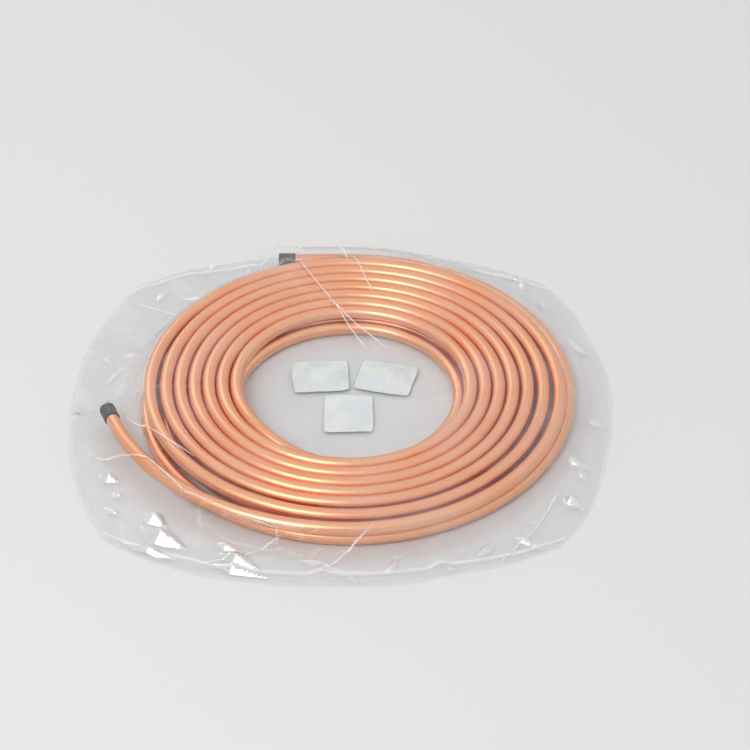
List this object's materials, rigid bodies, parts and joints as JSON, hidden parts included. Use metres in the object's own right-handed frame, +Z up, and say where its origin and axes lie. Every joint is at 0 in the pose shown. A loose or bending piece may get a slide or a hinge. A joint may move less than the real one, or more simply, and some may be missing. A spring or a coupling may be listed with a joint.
{
  "type": "copper tube coil",
  "caption": "Flat coil of soft copper tube wound in two layers round an open bore, with a push-on cap on each free end, laid in a clear film bag with paper desiccant packs.",
  "frame": {"origin": "on the floor, on the underside of the bag, below the middle of the coil's bore", "axes": "+Z up along the bore, -Y towards the front, +X to the right"},
  "size_m": [0.51, 0.5, 0.0273],
  "materials": {
    "copper": "satin drawn copper",
    "cap": "moulded",
    "film": "clear thin film",
    "pack_paper": "matte"
  },
  "bodies": {
    "root": {"copper_tube": "copper", "end_cap_front": "cap", "end_cap_back": "cap", "bag_lower_ply": "film", "bag_upper_ply": "film", "desiccant_pack_left": "pack_paper", "desiccant_pack_right": "pack_paper", "desiccant_pack_front": "pack_paper"}
  },
  "joints": []
}
